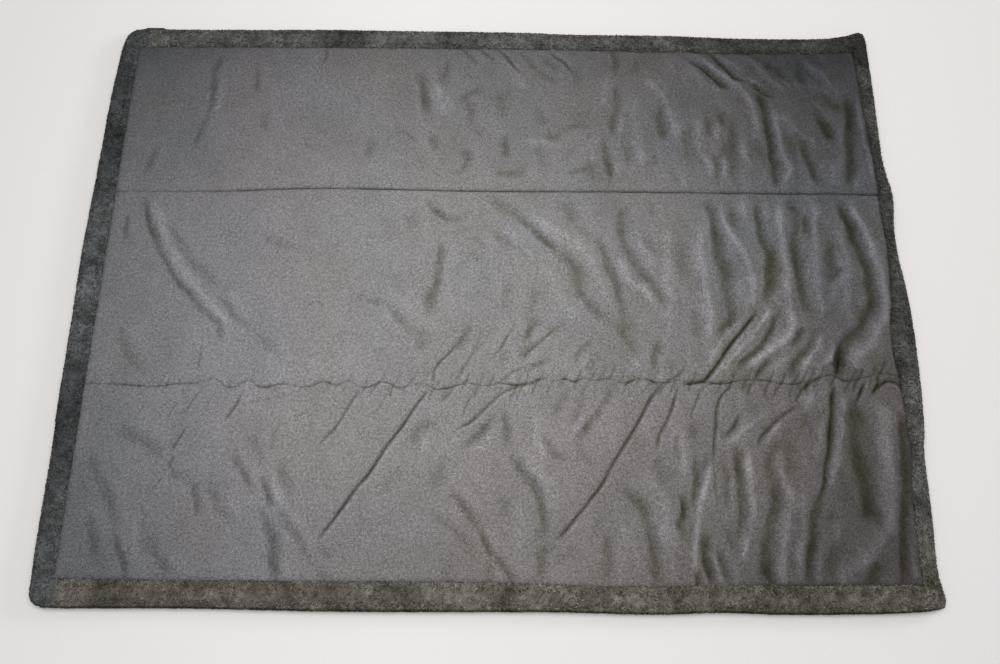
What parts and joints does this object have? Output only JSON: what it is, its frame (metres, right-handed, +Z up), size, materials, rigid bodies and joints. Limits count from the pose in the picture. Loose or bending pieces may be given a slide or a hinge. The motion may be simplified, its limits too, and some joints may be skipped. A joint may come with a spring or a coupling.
{
  "type": "infrared heated blanket",
  "caption": "Plush blanket laid flat, fur border, lengthwise panels whose outer flaps fold over the middle; sealed far-infrared heater circuit and edge inlet.",
  "frame": {"origin": "centre of the blanket's outline, on the surface it lies on", "axes": "+X along the blanket's length, +Y towards the far long edge (the one with the supply inlet), +Z up"},
  "size_m": [2, 1.5, 0.019],
  "materials": {
    "plush_face": "short-pile plush, matt",
    "fur_border": "coarse short fur, matt",
    "fur_backing": "coarse short fur, matt",
    "sewing_thread": "twisted polyester thread",
    "wadding": "loose polyester wadding",
    "reflector_foil": "metallised film",
    "carrier_cloth": "open scrim cloth",
    "heater_cable": "silicone sheath",
    "cushion_felt": "needled felt",
    "lead_sheath": "pvc sheath",
    "cutout_case": "moulded",
    "crimp_copper": "tinned copper crimp",
    "sensor_case": "epoxy bead",
    "contact_brass": "turned and polished",
    "inlet_plastic": "fine moulded texture"
  },
  "bodies": {
    "middle_panel": {"backing_panel_middle": "fur_backing", "batting_middle": "wadding", "border_middle_left": "fur_border", "border_middle_right": "fur_border", "border_thread_middle_left": "sewing_thread", "border_thread_middle_right": "sewing_thread", "cushion_felt_middle": "cushion_felt", "face_panel_middle": "plush_face", "heater_cable_middle": "heater_cable", "heater_carrier_middle": "carrier_cloth", "reflector_film_middle": "reflector_foil", "seam_thread_lower": "sewing_thread", "seam_thread_upper": "sewing_thread", "sensor_lead": "lead_sheath", "splice_high_middle": "crimp_copper", "splice_low_middle": "crimp_copper", "supply_lead_middle": "lead_sheath", "temperature_sensor": "sensor_case", "thermal_cutout_middle": "cutout_case"},
    "top_panel": {"backing_panel_top": "fur_backing", "batting_top": "wadding", "border_thread_top": "sewing_thread", "border_top_left": "fur_border", "border_top_right": "fur_border", "contact_pin_1": "contact_brass", "contact_pin_2": "contact_brass", "contact_pin_3": "contact_brass", "cushion_felt_top": "cushion_felt", "face_panel_top": "plush_face", "heater_cable_top": "heater_cable", "heater_carrier_top": "carrier_cloth", "inlet_bezel": "inlet_plastic", "inlet_housing": "inlet_plastic", "reflector_film_top": "reflector_foil", "splice_high_top": "crimp_copper", "splice_low_top": "crimp_copper", "supply_lead_top": "lead_sheath", "thermal_cutout_top": "cutout_case"},
    "bottom_panel": {"backing_panel_bottom": "fur_backing", "batting_bottom": "wadding", "border_bottom_left": "fur_border", "border_bottom_right": "fur_border", "border_thread_bottom": "sewing_thread", "cushion_felt_bottom": "cushion_felt", "face_panel_bottom": "plush_face", "heater_cable_bottom": "heater_cable", "heater_carrier_bottom": "carrier_cloth", "reflector_film_bottom": "reflector_foil", "splice_high_bottom": "crimp_copper", "splice_low_bottom": "crimp_copper", "supply_lead_bottom": "lead_sheath", "thermal_cutout_bottom": "cutout_case"}
  },
  "joints": [
    {"name": "upper_fold", "type": "hinge", "parent": "middle_panel", "child": "top_panel", "pos_m": [0, 0.265, 0.0193], "axis": [1, 0, 0], "range_deg": [0, 179.9]},
    {"name": "lower_fold", "type": "hinge", "parent": "middle_panel", "child": "bottom_panel", "pos_m": [0, -0.24, 0.0328], "axis": [-1, 0, 0], "range_deg": [0, 179.9]}
  ]
}
